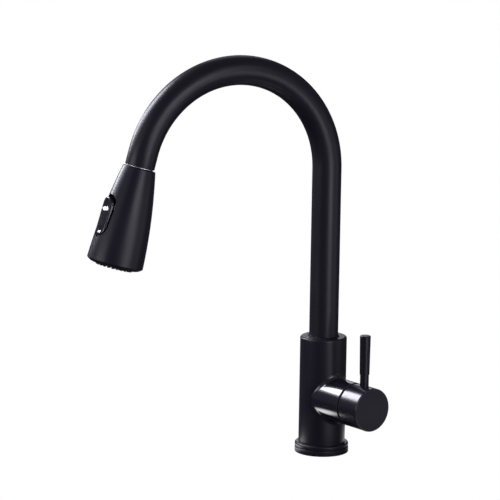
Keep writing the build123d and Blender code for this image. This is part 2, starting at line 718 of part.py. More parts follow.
MAKERS = (
    base_gasket, base_ring, trim_ring, mixer_body, mounting_shank, rubber_clamp_washer,
    steel_clamp_washer, mounting_nut, outlet_pipe, cartridge_seals, cartridge_housing, fixed_disc,
    moving_disc, disc_carrier, stem_guide, pivot_pin, cartridge_stem, cartridge_nut, barrel_trim_ring,
    handle_cap, stem_adapter, handle_grub_screw, lever_ferrule, lever_rod, spout_tube, spout_foot,
    spout_bushes, thrust_washer, spout_wiper, spout_set_screw, dock_collar, dock_ring, hose_lower,
    hose_upper, hose_coupling, hose_ferrule, hose_end_fitting, head_shell, head_neck, check_valve,
    diverter_body, diverter_spool, spray_face, nozzle_mat, aerator, rocker_bezel, rocker_pin,
    rocker_button,
)

os.makedirs("parts", exist_ok=True)
for maker in MAKERS:
    node = maker.__name__
    shape = maker()
    shape.label = node
    export_step(shape, f"parts/{node}.step")
print(len(MAKERS), "parts written; head seam at", SEAM_POINT, "finger arm", round(FINGER_ARM, 2))
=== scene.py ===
import bmesh
import bpy
import json
from math import cos, pi, radians, sin, sqrt, tau
from mathutils import Matrix, Quaternion, Vector


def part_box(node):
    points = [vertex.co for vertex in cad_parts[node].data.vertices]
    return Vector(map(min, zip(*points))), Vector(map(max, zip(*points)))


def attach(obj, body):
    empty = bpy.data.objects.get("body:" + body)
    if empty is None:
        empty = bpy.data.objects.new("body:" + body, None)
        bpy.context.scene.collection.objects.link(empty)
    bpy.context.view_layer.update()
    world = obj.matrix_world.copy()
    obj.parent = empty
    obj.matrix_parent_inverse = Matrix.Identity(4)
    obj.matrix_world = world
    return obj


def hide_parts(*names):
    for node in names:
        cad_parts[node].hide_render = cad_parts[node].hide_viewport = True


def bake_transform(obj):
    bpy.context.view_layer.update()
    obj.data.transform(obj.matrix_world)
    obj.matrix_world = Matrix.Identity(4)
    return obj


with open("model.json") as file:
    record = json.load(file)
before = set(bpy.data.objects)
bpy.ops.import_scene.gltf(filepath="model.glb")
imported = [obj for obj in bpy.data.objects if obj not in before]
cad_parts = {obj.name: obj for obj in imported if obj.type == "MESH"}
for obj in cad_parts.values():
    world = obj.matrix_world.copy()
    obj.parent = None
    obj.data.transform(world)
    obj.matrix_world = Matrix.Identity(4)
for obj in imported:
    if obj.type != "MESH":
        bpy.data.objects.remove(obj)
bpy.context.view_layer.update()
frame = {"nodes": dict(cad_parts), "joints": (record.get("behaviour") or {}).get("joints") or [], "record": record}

# Lengths are in metres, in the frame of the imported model: origin on the column's axis in the plane of
# the worktop, +Z up, +X along the mixer barrel. Azimuths, elevations, the camera's roll and the angle of
# a sharp edge are in degrees, all other angles in radians.

MM = 0.001
MERGE = 0.002 * MM
JOINTS = {joint["name"]: joint for joint in frame["joints"]}

# camera
VIEW_AZIMUTH = -37.98
VIEW_ELEVATION = 10.96
VIEW_ROLL = 0.86
VIEW_DISTANCE = 2.81913
VIEW_TARGET = Vector((-0.00036, -0.09127, 0.20797))
LENS = 216.0
SENSOR = 36.0

# soft boxes: name, azimuth, elevation, width, height and brightness
LIGHT_MIDDLE = Vector((0, -0.08, 0.2))
LIGHT_DISTANCE = 1.25
LIGHT_COLOUR = (0.97, 0.97, 1.08)
SOFT_BOXES = (
    ("window_back_left", -160, 35, 0.52, 0.52, 11),
    ("window_low_left", -168, 16, 0.42, 0.22, 14),
    ("window_edge", -142, 28, 0.30, 0.42, 2),
    ("strip_left", -103, 6, 0.70, 0.35, 2.6),
    ("strip_right_top", -8, 17, 0.65, 0.34, 3.0),
    ("strip_right_low", 1, -6, 0.62, 0.50, 1.9),
    ("strip_right_high", 12, 34, 0.60, 0.36, 0.7),
    ("rim_behind", 142, -3, 0.30, 0.26, 3.4),
    ("rim_above", 142, 11, 0.40, 0.20, 0.9),
    ("high_behind", 142, 38, 0.50, 0.50, 0.6),
    ("fill_left", -90, 30, 0.60, 0.40, 0.3),
    ("fill_back_right", 45, -6, 0.70, 0.70, 0.34),
)

# room, brighter towards one direction than away from it, and where on the cosine to it the light fades
ROOM_AZIMUTH = -37.98
ROOM_ELEVATION = 20
ROOM_FRONT = 0.12
ROOM_BACK = 0.05
ROOM_FADE = (-0.6, 0.2)

# floor and its pools of light: x, y, radius and brightness; a pool's core, where it is even, is a part
# of its radius
FLOOR_R = 0.45
FLOOR_SIDES = 96
FLOOR_GLOW = 0.04
FLOOR_POOLS = (
    (-0.033, -0.040, 0.027, 3.7),
    (-0.010, 0.075, 0.060, 1.2),
    (0.150, -0.020, 0.090, 0.7),
    (0.240, 0.140, 0.130, 0.18),
)
POOL_CORE = 0.3

# directions, those of the spout and the spray head taken from the joints
X_AXIS = Vector((1, 0, 0))
Y_AXIS = Vector((0, 1, 0))
UP = Vector((0, 0, 1))
SEAM_POINT = Vector(JOINTS["spray_head_turn"]["pos_m"])
HEAD_ALONG = Vector(JOINTS["spray_head_pull"]["axis"]).normalized()
SPOUT_OUT = Vector((SEAM_POINT.x, SEAM_POINT.y, 0)).normalized()
SPOUT_SIDE = UP.cross(SPOUT_OUT)
HEAD_FRONT = HEAD_ALONG.cross(SPOUT_SIDE)

# barrel of the mixer, and the ranges over which its finish changes
BARREL_R = 20.9 * MM
BARREL_Z = 55.4 * MM
BARREL_FACE_X = 48.0 * MM
LACQUER_START_X = (0.0, 10.0 * MM)
LACQUER_EDGE_R = (BARREL_R + 1.5 * MM, BARREL_R + 4.5 * MM)
BARE_END_X = (46.6 * MM, 46.8 * MM)
CAP_RIM_X = (49.9 * MM, 50.1 * MM)

# trim ring behind the cap
NECK_BORE_R = 10.8 * MM
LIP_BORE_R = 15.6 * MM
DOME_R = 23.2 * MM
DOME_END_X = 50.0 * MM
DOME_STEPS = 8
TRIM_SIDES = 96

# spout tube
TUBE_R = 14.0 * MM
TUBE_WALL = 1.2 * MM
BEND_R = 98.5 * MM
BEND_START_Z = 278.0 * MM
BEND_ANGLE = HEAD_ALONG.angle(UP)
TUBE_FOOT_Z = 96.0 * MM
TIP_RUN = 14.2 * MM
SEAM_HALF = 0.6 * MM
LIP_R = 0.5 * MM
LIP_CHAMFER = 0.2 * MM
TUBE_SIDES = 128
BEND_RINGS = 144
LIP_STEPS = 4

# threaded shank; the thread's crest and flank are parts of its pitch
SHANK_R = 16.5 * MM
SHANK_BORE_R = 14.4 * MM
SHANK_LOW_Z = -60.0 * MM
SHANK_TOP_Z = 14.0 * MM
SHANK_CHAMFER = 0.8 * MM
SHANK_STEP = 0.3 * MM
SHANK_SIDES = 96
THREAD_LOW_Z = SHANK_LOW_Z + 1.0 * MM
THREAD_TOP_Z = -1.0 * MM
THREAD_PITCH = 2.0 * MM
THREAD_DEPTH = 0.9 * MM
THREAD_FADE = 1.5 * THREAD_PITCH
THREAD_HALF_CREST = 0.2
THREAD_FLANK = 0.2
THREAD_ROWS = 8

# braided hose; the part that pulls out is packed into a short stretch above the seam, and the braid's
# floor is the part of its lift that it has everywhere
HOSE_R = 5.0 * MM
BRAID_LIFT = 0.35 * MM
BRAID_FLOOR = 0.1
BRAID_STRANDS = 12
BRAID_PITCH = 5.2 * MM
BRAID_SIDES = 96
BRAID_STEP = 0.65 * MM
HOSE_TAIL_X = -6.2 * MM
HOSE_TAIL_Z = (-77.9 * MM, -50.0 * MM)
HOSE_STRETCH = (-14.0 * MM, -12.3 * MM)
HOSE_TRAVEL = JOINTS["spray_head_pull"]["range_m"][1]

# rocker switch; the flat of its underside reaches in by a part of its half width
ROCKER_LENGTH = 37.0 * MM
ROCKER_WIDTH = 17.4 * MM
ROCKER_THICK = 3.2 * MM
ROCKER_SHIFT = 0.7 * MM
ROCKER_PIVOT_IN = 6.6 * MM
ROCKER_TILT = radians(5.7 - 4.0)
ROCKER_PROUD = 1.2 * MM
ROCKER_CROWN_R = 24.7 * MM
ROCKER_EDGE_R = 1.0 * MM
ROCKER_UNDER = 0.9
ROCKER_ARC = 48
ROCKER_SIDE = 48
ROCKER_ROWS = 40
ROCKER_EDGE_STEPS = 6
SCOOP_SLOPE = 0.374
SCOOP_LEAN = 0.06
SCOOP_ASIDE = -1.8 * MM
SCOOP_BLEND = 0.12 * MM
UPPER_SCOOP = {
    "end": -4.8 * MM, "low": -8.8 * MM, "depth": 1.45 * MM, "bend": 16.0 * MM, "width": 22.0 * MM,
}
LOWER_SCOOP = {
    "end": 16.4 * MM, "low": 13.6 * MM, "depth": 0.95 * MM, "bend": 7.0 * MM, "width": 7.5 * MM,
}

# finishes; the ranges are where most of a noise and most of the turned streaks lie
NOISE_RANGE = (0.3, 0.7)
STREAK_RANGE = (0.7, 1.3)
POWDER_DRIFT = 35.0 * MM
POWDER_BUMP = 0.35
COARSE_SCALE = 0.28
COARSE_SHARE = 0.6
TURNED_BUMP = 0.3
TURNED_GLOSS_SPREAD = 0.3
WIDE_STREAK_SCALE = 0.11
TRIM_PITCH = 0.2 * MM
TRIM_GLOSS_SPREAD = 0.2
# where the seam's trim ring turns from bright to dark along the head's axis: past it the ring carries painted
# shade of the gap under it
TRIM_PAINTED_SHADE_AT = SEAM_POINT.dot(HEAD_ALONG) - 0.05 * MM
TRIM_PAINTED_SHADE_FADE = 0.1 * MM
BLACK_COAT = (0.0105, 0.0085, 0.0205)
BLACK_COAT_LIGHT = (0.0135, 0.0115, 0.0245)
BLACK_PLASTIC = (0.0105, 0.0085, 0.022)
BLACK_PLASTIC_LIGHT = (0.0135, 0.0115, 0.026)


# ---- shader node groups -------------------------------------------------------------------------


FLOAT = "NodeSocketFloat"
VECTOR = "NodeSocketVector"


def new_group(name, inputs, outputs):
    """Empty shader group with named inputs (name, kind, value) and outputs (name, kind)."""
    group = bpy.data.node_groups.new(name, "ShaderNodeTree")
    for label, kind, value in inputs:
        socket = group.interface.new_socket(name=label, in_out="INPUT", socket_type=kind)
        socket.default_value = value
    for label, kind in outputs:
        group.interface.new_socket(name=label, in_out="OUTPUT", socket_type=kind)
    return group, group.nodes.new("NodeGroupInput"), group.nodes.new("NodeGroupOutput")


def feed(tree, socket, value):
    """Links an input to another socket, or sets it to a constant."""
    if isinstance(value, bpy.types.NodeSocket):
        tree.links.new(value, socket)
    else:
        socket.default_value = value


def math_node(tree, operation, first, second=None, clamp=False):
    """Math node whose inputs are sockets or numbers; returns its output."""
    node = tree.nodes.new("ShaderNodeMath")
    node.operation = operation
    node.use_clamp = clamp
    feed(tree, node.inputs[0], first)
    if second is not None:
        feed(tree, node.inputs[1], second)
    return node.outputs[0]


def noise_node(tree, place, scale, detail, rough=0.5):
    """Noise texture; scale is a socket or a number."""
    node = tree.nodes.new("ShaderNodeTexNoise")
    node.inputs["Detail"].default_value = detail
    node.inputs["Roughness"].default_value = rough
    feed(tree, node.inputs["Vector"], place)
    feed(tree, node.inputs["Scale"], scale)
    return node.outputs["Fac"]


def object_place(tree):
    """Place of a point in the axes of its piece, which are those of the model at rest."""
    return tree.nodes.new("ShaderNodeTexCoord").outputs["Object"]


def far_along(tree, place, axis):
    """How far a place lies along an axis; the axis is a socket or a vector."""
    node = tree.nodes.new("ShaderNodeVectorMath")
    node.operation = "DOT_PRODUCT"
    feed(tree, node.inputs[0], place)
    feed(tree, node.inputs[1], axis)
    return node.outputs["Value"]


def remap(tree, value, low, high, ends=NOISE_RANGE):
    """Value that runs from low to high while another goes from one end of a range to the other."""
    node = tree.nodes.new("ShaderNodeMapRange")
    node.inputs["From Min"].default_value = ends[0]
    node.inputs["From Max"].default_value = ends[1]
    node.inputs["To Min"].default_value = low
    node.inputs["To Max"].default_value = high
    tree.links.new(value, node.inputs["Value"])
    return node.outputs["Result"]


def powder_group():
    """Fine powder-coat texture: a height, and a mask that drifts slowly over the surface."""
    group, source, sink = new_group(
        "powder_coat",
        (("Grain Size", FLOAT, 0.4 * MM), ("Drift Size", FLOAT, 30.0 * MM)),
        (("Height", FLOAT), ("Drift", FLOAT)),
    )
    place = object_place(group)
    grain_scale = math_node(group, "DIVIDE", 1.0, source.outputs["Grain Size"])
    coarse_scale = math_node(group, "MULTIPLY", grain_scale, COARSE_SCALE)
    drift_scale = math_node(group, "DIVIDE", 1.0, source.outputs["Drift Size"])
    grain = noise_node(group, place, grain_scale, detail=2.0, rough=0.55)
    coarse = noise_node(group, place, coarse_scale, detail=1.0)
    drift = noise_node(group, place, drift_scale, detail=3.0)
    height = math_node(group, "ADD", grain, math_node(group, "MULTIPLY", coarse, COARSE_SHARE))
    group.links.new(height, sink.inputs["Height"])
    group.links.new(drift, sink.inputs["Drift"])
    return group


def turned_group():
    """Fine lathe or brush lines round an axis of the piece."""
    group, source, sink = new_group(
        "turned_lines",
        (("Line Pitch", FLOAT, 0.3 * MM), ("Axis", VECTOR, (1, 0, 0))),
        (("Height", FLOAT), ("Streak", FLOAT)),
    )
    line = group.nodes.new("ShaderNodeCombineXYZ")
    along = far_along(group, object_place(group), source.outputs["Axis"])
    group.links.new(along, line.inputs["X"])
    fine_scale = math_node(group, "DIVIDE", 1.0, source.outputs["Line Pitch"])
    wide_scale = math_node(group, "MULTIPLY", fine_scale, WIDE_STREAK_SCALE)
    fine = noise_node(group, line.outputs[0], fine_scale, detail=3.0, rough=0.7)
    wide = noise_node(group, line.outputs[0], wide_scale, detail=2.0, rough=0.6)
    group.links.new(fine, sink.inputs["Height"])
    group.links.new(math_node(group, "ADD", fine, wide), sink.inputs["Streak"])
    return group


POWDER = powder_group()
TURNED = turned_group()


# ---- materials ----------------------------------------------------------------------------------


def place_group(tree, group, **values):
    """Instance of a shader group in a material, with some inputs set."""
    node = tree.nodes.new("ShaderNodeGroup")
    node.node_tree = group
    for label, value in values.items():
        node.inputs[label.replace("_", " ")].default_value = value
    return node


def base_material(name, colour, roughness, metallic=0.0, **sockets):
    """Material with one Principled shader; constants go on the shader's own sockets."""
    material = bpy.data.materials.new(name)
    material.use_nodes = True
    shader = material.node_tree.nodes["Principled BSDF"]
    shader.inputs["Base Color"].default_value = (*colour, 1.0)
    shader.inputs["Roughness"].default_value = roughness
    shader.inputs["Metallic"].default_value = metallic
    for label, value in sockets.items():
        shader.inputs[label.replace("_", " ")].default_value = value
    return material, material.node_tree, shader


def mix_colour(tree, factor, low, high):
    """Colour that runs from low to high with a factor socket."""
    mix = tree.nodes.new("ShaderNodeMix")
    mix.data_type = "RGBA"
    mix.inputs["A"].default_value = (*low, 1.0)
    mix.inputs["B"].default_value = (*high, 1.0)
    tree.links.new(factor, mix.inputs["Factor"])
    return mix.outputs["Result"]


def bump(tree, shader, height, strength, distance):
    """Bump node on the shader's normal."""
    node = tree.nodes.new("ShaderNodeBump")
    node.inputs["Strength"].default_value = strength
    node.inputs["Distance"].default_value = distance
    tree.links.new(height, node.inputs["Height"])
    tree.links.new(node.outputs["Normal"], shader.inputs["Normal"])


def streaked_gloss(tree, lines, roughness, spread):
    """Roughness that is higher in the troughs of turned lines and lower on their crests."""
    dull, glossy = roughness * (1 + spread), roughness * (1 - spread)
    return remap(tree, lines.outputs["Streak"], dull, glossy, STREAK_RANGE)


def powder_material(name, colour, lighter, roughness, spread, grain, depth, **sockets):
    """Powder-coated or moulded finish: fine grain and a slow drift of tone and gloss."""
    material, tree, shader = base_material(name, colour, roughness, **sockets)
    coat = place_group(tree, POWDER, Grain_Size=grain, Drift_Size=POWDER_DRIFT)
    tone = mix_colour(tree, coat.outputs["Drift"], colour, lighter)
    gloss = remap(tree, coat.outputs["Drift"], roughness - spread, roughness + spread)
    tree.links.new(tone, shader.inputs["Base Color"])
    tree.links.new(gloss, shader.inputs["Roughness"])
    bump(tree, shader, coat.outputs["Height"], POWDER_BUMP, depth)
    return material


def turned_material(name, colour, darker, roughness, axis, pitch, depth, **sockets):
    """Turned or brushed finish with fine lines round an axis."""
    material, tree, shader = base_material(name, colour, roughness, **sockets)
    lines = place_group(tree, TURNED, Line_Pitch=pitch, Axis=axis)
    streak = remap(tree, lines.outputs["Streak"], 0.0, 1.0, STREAK_RANGE)
    tone = mix_colour(tree, streak, darker, colour)
    gloss = streaked_gloss(tree, lines, roughness, TURNED_GLOSS_SPREAD)
    tree.links.new(tone, shader.inputs["Base Color"])
    tree.links.new(gloss, shader.inputs["Roughness"])
    bump(tree, shader, lines.outputs["Height"], TURNED_BUMP, depth)
    return material


def lacquered_casting(name, roughness, glossy, **values):
    """Powder coat on the column, a smoother lacquer on the barrel and its saddle, and bare dark metal
    on the barrel's end, which the handle cap covers."""
    material = powder_material(name, roughness=roughness, **values)
    tree = material.node_tree
    shader = tree.nodes["Principled BSDF"]
    split = tree.nodes.new("ShaderNodeSeparateXYZ")
    tree.links.new(object_place(tree), split.inputs[0])
    along, aside, height = split.outputs
    rise = math_node(tree, "SUBTRACT", height, BARREL_Z)
    rise_squared = math_node(tree, "MULTIPLY", rise, rise)
    aside_squared = math_node(tree, "MULTIPLY", aside, aside)
    far = math_node(tree, "SQRT", math_node(tree, "ADD", rise_squared, aside_squared))
    near_barrel = remap(tree, far, 1.0, 0.0, LACQUER_EDGE_R)
    in_front = remap(tree, along, 0.0, 1.0, LACQUER_START_X)
    smooth = math_node(tree, "MULTIPLY", near_barrel, in_front)
    bare = remap(tree, along, 0.0, 1.0, BARE_END_X)
    coated = shader.inputs["Roughness"].links[0].from_socket
    smoothing = math_node(tree, "MULTIPLY", smooth, roughness - glossy)
    lacquered = math_node(tree, "SUBTRACT", coated, smoothing)
    tree.links.new(math_node(tree, "MAXIMUM", lacquered, bare), shader.inputs["Roughness"])
    tree.links.new(math_node(tree, "SUBTRACT", smooth, bare, clamp=True), shader.inputs["Coat Weight"])
    return material


def brushed_cap(name, coat_weight, **values):
    """Lacquer over fine brushing round the barrel's axis, bare and dull on the rim at the joint."""
    axis = (1, 0, 0)
    material = turned_material(name, axis=axis, Coat_Weight=coat_weight, **values)
    tree = material.node_tree
    shader = tree.nodes["Principled BSDF"]
    bare = remap(tree, far_along(tree, object_place(tree), axis), 1.0, 0.0, CAP_RIM_X)
    brushed = shader.inputs["Roughness"].links[0].from_socket
    coat = math_node(tree, "SUBTRACT", coat_weight, bare, clamp=True)
    tree.links.new(math_node(tree, "MAXIMUM", brushed, bare), shader.inputs["Roughness"])
    tree.links.new(coat, shader.inputs["Coat Weight"])
    return material


def trim_material(name, bright, dark, roughness, along):
    """Bright turned ring. Its lower edge is painted dark: a painted shade of the gap under the ring."""
    material, tree, shader = base_material(name, bright, roughness, metallic=1.0)
    lines = place_group(tree, TURNED, Line_Pitch=TRIM_PITCH, Axis=along)
    below = far_along(tree, object_place(tree), along)
    # painted shade: the ring's colour turns dark past this point, standing in for the shade of the gap at its
    # lower edge
    painted_shade = remap(tree, below, 0.0, 1.0, (TRIM_PAINTED_SHADE_AT, TRIM_PAINTED_SHADE_AT + TRIM_PAINTED_SHADE_FADE))
    gloss = streaked_gloss(tree, lines, roughness, TRIM_GLOSS_SPREAD)
    tree.links.new(mix_colour(tree, painted_shade, bright, dark), shader.inputs["Base Color"])
    tree.links.new(gloss, shader.inputs["Roughness"])
    return material


MATERIALS = {
    "black_metal": powder_material(
        "black_powder_coat", BLACK_COAT, BLACK_COAT_LIGHT,
        roughness=0.36, spread=0.03, grain=0.5 * MM, depth=0.01 * MM),
    "black_casting": lacquered_casting(
        "lacquered_casting", colour=BLACK_COAT, lighter=BLACK_COAT_LIGHT,
        roughness=0.36, glossy=0.20, spread=0.03, grain=0.5 * MM, depth=0.04 * MM,
        Coat_Roughness=0.08),
    "black_handle": powder_material(
        "black_lever_lacquer", (0.0095, 0.0078, 0.0175), (0.0115, 0.0096, 0.0205),
        roughness=0.3, spread=0.03, grain=0.4 * MM, depth=0.01 * MM),
    "black_cap": brushed_cap(
        "brushed_cap_lacquer", colour=(0.014, 0.0118, 0.026), darker=(0.009, 0.0072, 0.017),
        roughness=0.24, pitch=0.5 * MM, depth=0.03 * MM, coat_weight=0.6, Coat_Roughness=0.14),
    "black_plastic": powder_material(
        "black_moulded_plastic", BLACK_PLASTIC, BLACK_PLASTIC_LIGHT,
        roughness=0.34, spread=0.03, grain=0.4 * MM, depth=0.03 * MM),
    "polished_plastic": powder_material(
        "polished_black_plastic", BLACK_PLASTIC, BLACK_PLASTIC_LIGHT,
        roughness=0.2, spread=0.03, grain=0.4 * MM, depth=0.01 * MM,
        Coat_Weight=1.0, Coat_Roughness=0.08),
    "black_rubber": powder_material(
        "black_rubber", (0.006, 0.006, 0.007), (0.011, 0.011, 0.012),
        roughness=0.7, spread=0.06, grain=0.6 * MM, depth=0.08 * MM),
    # darker and duller than the other black plastic: the trim ring's own black, darkened further as painted shade
    # for the slit behind the handle cap, which its domed lip fills
    "dull_plastic": powder_material(
        "dull_black_plastic_painted_shade", (0.004, 0.0035, 0.007), (0.006, 0.005, 0.01),
        roughness=0.7, spread=0.05, grain=0.4 * MM, depth=0.01 * MM, Specular_IOR_Level=0.12),
    "grey_silicone": powder_material(
        "dark_silicone", (0.004, 0.004, 0.005), (0.007, 0.007, 0.008),
        roughness=0.6, spread=0.05, grain=0.5 * MM, depth=0.05 * MM),
    "brass": turned_material(
        "turned_brass", (0.72, 0.52, 0.24), (0.55, 0.38, 0.16),
        roughness=0.28, axis=UP, pitch=0.4 * MM, depth=0.04 * MM, metallic=1.0),
    "steel": turned_material(
        "turned_steel", (0.62, 0.61, 0.59), (0.45, 0.45, 0.44),
        roughness=0.3, axis=UP, pitch=0.4 * MM, depth=0.04 * MM, metallic=1.0),
    # the dark colour is painted shade of the gap under the seam's trim ring
    "chrome_trim": trim_material(
        "bright_trim_painted_shade", (0.86, 0.86, 0.87), (0.01, 0.01, 0.012), roughness=0.38, along=HEAD_ALONG),
    "zinc": powder_material(
        "cast_zinc", (0.34, 0.34, 0.35), (0.46, 0.46, 0.47),
        roughness=0.42, spread=0.06, grain=0.9 * MM, depth=0.1 * MM, metallic=1.0),
    "white_plastic": powder_material(
        "white_moulded_plastic", (0.74, 0.74, 0.72), (0.82, 0.82, 0.8),
        roughness=0.4, spread=0.05, grain=0.8 * MM, depth=0.05 * MM),
    "ceramic": powder_material(
        "lapped_ceramic", (0.86, 0.85, 0.8), (0.9, 0.89, 0.85),
        roughness=0.16, spread=0.03, grain=1.2 * MM, depth=0.02 * MM),
    "hose_braid": powder_material(
        "hose_braid", (0.018, 0.018, 0.02), (0.04, 0.04, 0.044),
        roughness=0.6, spread=0.08, grain=0.6 * MM, depth=0.2 * MM),
}


# nodes whose finish differs from the rest of their slot
FINISH_OF_NODE = {"mixer_body": "black_casting", "handle_cap": "black_cap"}


def dress_frame():
    """Gives every node of the model its finish, which for most of them is their slot's."""
    for part in frame["record"]["subparts"]:
        node = frame["nodes"][part["node"]]
        node.data.materials.clear()
        finish = FINISH_OF_NODE.get(part["node"], part["material_slot"])
        node.data.materials.append(MATERIALS[finish])


# ---- mesh helpers -------------------------------------------------------------------------------


def new_piece(name, points, faces, slot, body, finish=None, sharp=40.0):
    """Smooth-shaded mesh piece, sharp at edges past an angle. It rides on a body, or on none yet if it is
    to blend, and its finish is its slot's own unless another is named."""
    mesh = bpy.data.meshes.new(name)
    mesh.from_pydata([tuple(point) for point in points], [], faces)
    form = bmesh.new()
    form.from_mesh(mesh)
    bmesh.ops.remove_doubles(form, verts=form.verts, dist=MERGE)
    bmesh.ops.dissolve_degenerate(form, edges=form.edges, dist=MERGE)
    bmesh.ops.recalc_face_normals(form, faces=form.faces)
    form.to_mesh(mesh)
    form.free()
    mesh.shade_smooth()
    mesh.set_sharp_from_angle(angle=radians(sharp))
    mesh.materials.append(MATERIALS[finish or slot])
    piece = bpy.data.objects.new(name, mesh)
    bpy.context.scene.collection.objects.link(piece)
    if body:
        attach(piece, body)
    return piece


def skin(rings, closed=False):
    """Points and quads of a skin over rings of equal count; closed joins the last ring to the first."""
    count = len(rings[0])
    points = [point for ring in rings for point in ring]
    faces = []
    for k in range(len(rings) - (0 if closed else 1)):
        low, high = k * count, (k + 1) % len(rings) * count
        for j in range(count):
            after = (j + 1) % count
            faces.append((low + j, low + after, high + after, high + j))
    return points, faces


def circle(centre, across, other, radius, count):
    """Points of a circle; across and other are unit vectors in its plane."""
    turns = [tau * j / count for j in range(count)]
    return [centre + radius * (cos(t) * across + sin(t) * other) for t in turns]


# ---- spout tube ---------------------------------------------------------------------------------


def spout_station(along):
    """Centre and in-plane direction of the spout's centreline at a length from the tube's foot."""
    rise = BEND_START_Z - TUBE_FOOT_Z
    bend = min(max(along - rise, 0.0) / BEND_R, BEND_ANGLE)
    past = along - rise - bend * BEND_R
    towards = sin(bend) * SPOUT_OUT + cos(bend) * UP
    inward = cos(bend) * SPOUT_OUT - sin(bend) * UP
    start = BEND_START_Z * UP + BEND_R * SPOUT_OUT
    return start - BEND_R * inward + past * towards, inward


def spout_tube_skin():
    """The gooseneck as one smooth tube with a wall, its open tip rolled over a small radius."""
    rise = BEND_START_Z - TUBE_FOOT_Z
    length = rise + BEND_R * BEND_ANGLE + TIP_RUN - SEAM_HALF
    bore_r = TUBE_R - TUBE_WALL
    places = [0.0, 0.5 * rise]
    places += [rise + BEND_R * BEND_ANGLE * k / BEND_RINGS for k in range(BEND_RINGS + 1)]
    wall = [(along, TUBE_R) for along in places]
    for step in range(LIP_STEPS + 1):
        turn = 0.5 * pi * step / LIP_STEPS
        wall.append((length - LIP_R * (1 - sin(turn)), TUBE_R - LIP_R * (1 - cos(turn))))
    wall += [(length, bore_r + LIP_CHAMFER), (length - LIP_CHAMFER, bore_r)]
    wall += [(along, bore_r) for along in reversed(places)]
    rings = []
    for along, radius in wall:
        centre, inward = spout_station(along)
        rings.append(circle(centre, inward, SPOUT_SIDE, radius, TUBE_SIDES))
    tube = new_piece("gooseneck_tube", *skin(rings, closed=True), "black_metal", "spout")
    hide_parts("spout_tube")


# ---- shank and hose -----------------------------------------------------------------------------


def thread_height(part):
    """Height of a trapezoid thread, 0 to 1, at a part of one pitch."""
    past_crest = abs(part - 0.5) - THREAD_HALF_CREST
    return min(max(1.0 - past_crest / THREAD_FLANK, 0.0), 1.0)


def helical_skin(rings, rows):
    """Skin over rings that climb one pitch per turn, where the end of a ring meets the ring rows later."""
    count = len(rings[0])
    points = [point for ring in rings for point in ring]
    faces = []
    for k in range(len(rings) - rows - 1):
        for j in range(count):
            low = k * count + j
            after = low + 1 if j + 1 < count else (k + rows) * count
            faces.append((low, after, after + count, low + count))
    return points, faces


def threaded_shank():
    """Hollow brass shank with a real thread below the worktop line. The thread's skin ends in a spiral,
    up to one pitch short of its top."""
    low, high = THREAD_LOW_Z, THREAD_TOP_Z
    root = SHANK_R - THREAD_DEPTH
    rings = []
    for k in range(-THREAD_ROWS, int((high - low) / THREAD_PITCH * THREAD_ROWS) + 1):
        ring = []
        for j in range(SHANK_SIDES):
            z = low + (k / THREAD_ROWS + j / SHANK_SIDES) * THREAD_PITCH
            ends = min(max(min(z - low, high - z) / THREAD_FADE, 0.0), 1.0)
            radius = root + THREAD_DEPTH * ends * thread_height(k % THREAD_ROWS / THREAD_ROWS)
            turn = tau * j / SHANK_SIDES
            ring.append(Vector((radius * cos(turn), radius * sin(turn), min(max(z, low), high))))
        rings.append(ring)
    points, faces = helical_skin(rings, THREAD_ROWS)
    top_r = SHANK_R - SHANK_STEP
    outline = ((root, low), (root - SHANK_CHAMFER, SHANK_LOW_Z), (SHANK_BORE_R, SHANK_LOW_Z),
               (SHANK_BORE_R, SHANK_TOP_Z), (top_r, SHANK_TOP_Z), (top_r, 0.0), (SHANK_R, 0.0),
               (SHANK_R, high + SHANK_STEP), (root, high))
    rest, more = skin([circle(z * UP, X_AXIS, Y_AXIS, r, SHANK_SIDES) for r, z in outline])
    faces += [tuple(index + len(points) for index in face) for face in more]
    shank = new_piece("threaded_shank", points + rest, faces, "brass", "body", sharp=25.0)
    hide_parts("mounting_shank")


def braid_lift(turn, along):
    """Height of a woven braid, 0 to 1, at an angle round the hose and a length along it."""
    left = BRAID_STRANDS * turn + tau * along / BRAID_PITCH
    right = BRAID_STRANDS * turn - tau * along / BRAID_PITCH
    over = 0.5 + 0.5 * sin(0.5 * left) * sin(0.5 * right)
    return over * abs(cos(0.5 * left)) + (1 - over) * abs(cos(0.5 * right))


def braided_sleeve(name, body, start, along, across, places):
    """Woven sleeve over a straight stretch of hose. Places are pairs: how far from the start a ring
    lies, and how much hose has been laid up to it."""
    other = along.cross(across)
    rings = []
    for far, laid in places:
        ring = []
        for j in range(BRAID_SIDES):
            turn = tau * j / BRAID_SIDES
            lift = BRAID_FLOOR + (1 - BRAID_FLOOR) * braid_lift(turn, laid)
            radius = HOSE_R + BRAID_LIFT * lift
            ring.append(start + far * along + radius * (cos(turn) * across + sin(turn) * other))
        rings.append(ring)
    return new_piece(name, *skin(rings), "hose_braid", body, sharp=60.0)


def hose_tail_braid():
    """Braid on the end of the hose that shows below the shank."""
    low, high = HOSE_TAIL_Z
    steps = int((high - low) / BRAID_STEP)
    places = [((high - low) * k / steps,) * 2 for k in range(steps + 1)]
    start = Vector((HOSE_TAIL_X, 0, low))
    braided_sleeve("hose_tail_braid", "body", start, UP, X_AXIS, places)


def hose_pull_braid():
    """Length of hose that comes out of the tube with the spray head. At rest it is packed into the
    last straight stretch of the tube; its rings are spaced so that the weave is even when it is out."""
    low, high = HOSE_STRETCH
    steps = int(HOSE_TRAVEL / BRAID_STEP)
    places = []
    for k in range(steps + 1):
        part = k / steps
        eased = part * part * (3 - 2 * part)
        places.append(((high - low) * part, (high - low) * part + HOSE_TRAVEL * eased))
    start = SEAM_POINT + low * HEAD_ALONG
    hose = braided_sleeve("hose_pull_braid", None, start, HEAD_ALONG, HEAD_FRONT, places)
    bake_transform(hose)


# ---- rocker switch ------------------------------------------------------------------------------


def soft_least(first, second, blend):
    """The lesser of two heights, rounded where they cross."""
    near = max(blend - abs(first - second), 0.0) / blend
    return min(first, second) - 0.25 * blend * near * near


